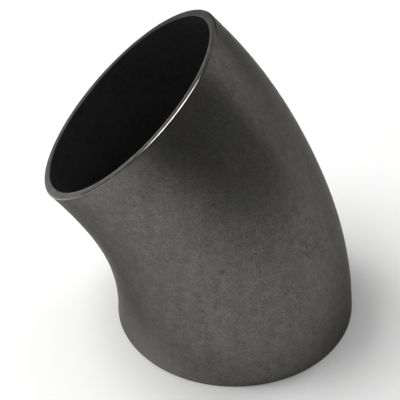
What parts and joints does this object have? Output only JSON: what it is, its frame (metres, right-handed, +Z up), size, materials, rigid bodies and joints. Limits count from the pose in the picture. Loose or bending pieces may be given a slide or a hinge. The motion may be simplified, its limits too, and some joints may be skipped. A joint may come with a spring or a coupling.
{
  "type": "pipe elbow",
  "caption": "Long-radius 45 degree butt-weld pipe elbow in dark mill-finish carbon steel, open right through, with equal square-faced ends lightly chamfered outside.",
  "frame": {"origin": "on the floor plane, which is also the lower end face, under the middle of the bounding box; the lower end's pipe axis stands at X = 0.0521, Y = 0", "axes": "+Z up along the lower end's pipe axis, -X towards the side that the upper end leans to, +Y across the plane of the bend"},
  "size_m": [0.4598, 0.3556, 0.5039],
  "materials": {
    "mill_steel": "hot-formed carbon steel with dark, matt, finely pitted mill scale; end faces and chamfers turned, a little lighter and brighter"
  },
  "bodies": {
    "root": {"elbow": "mill_steel"}
  },
  "joints": []
}
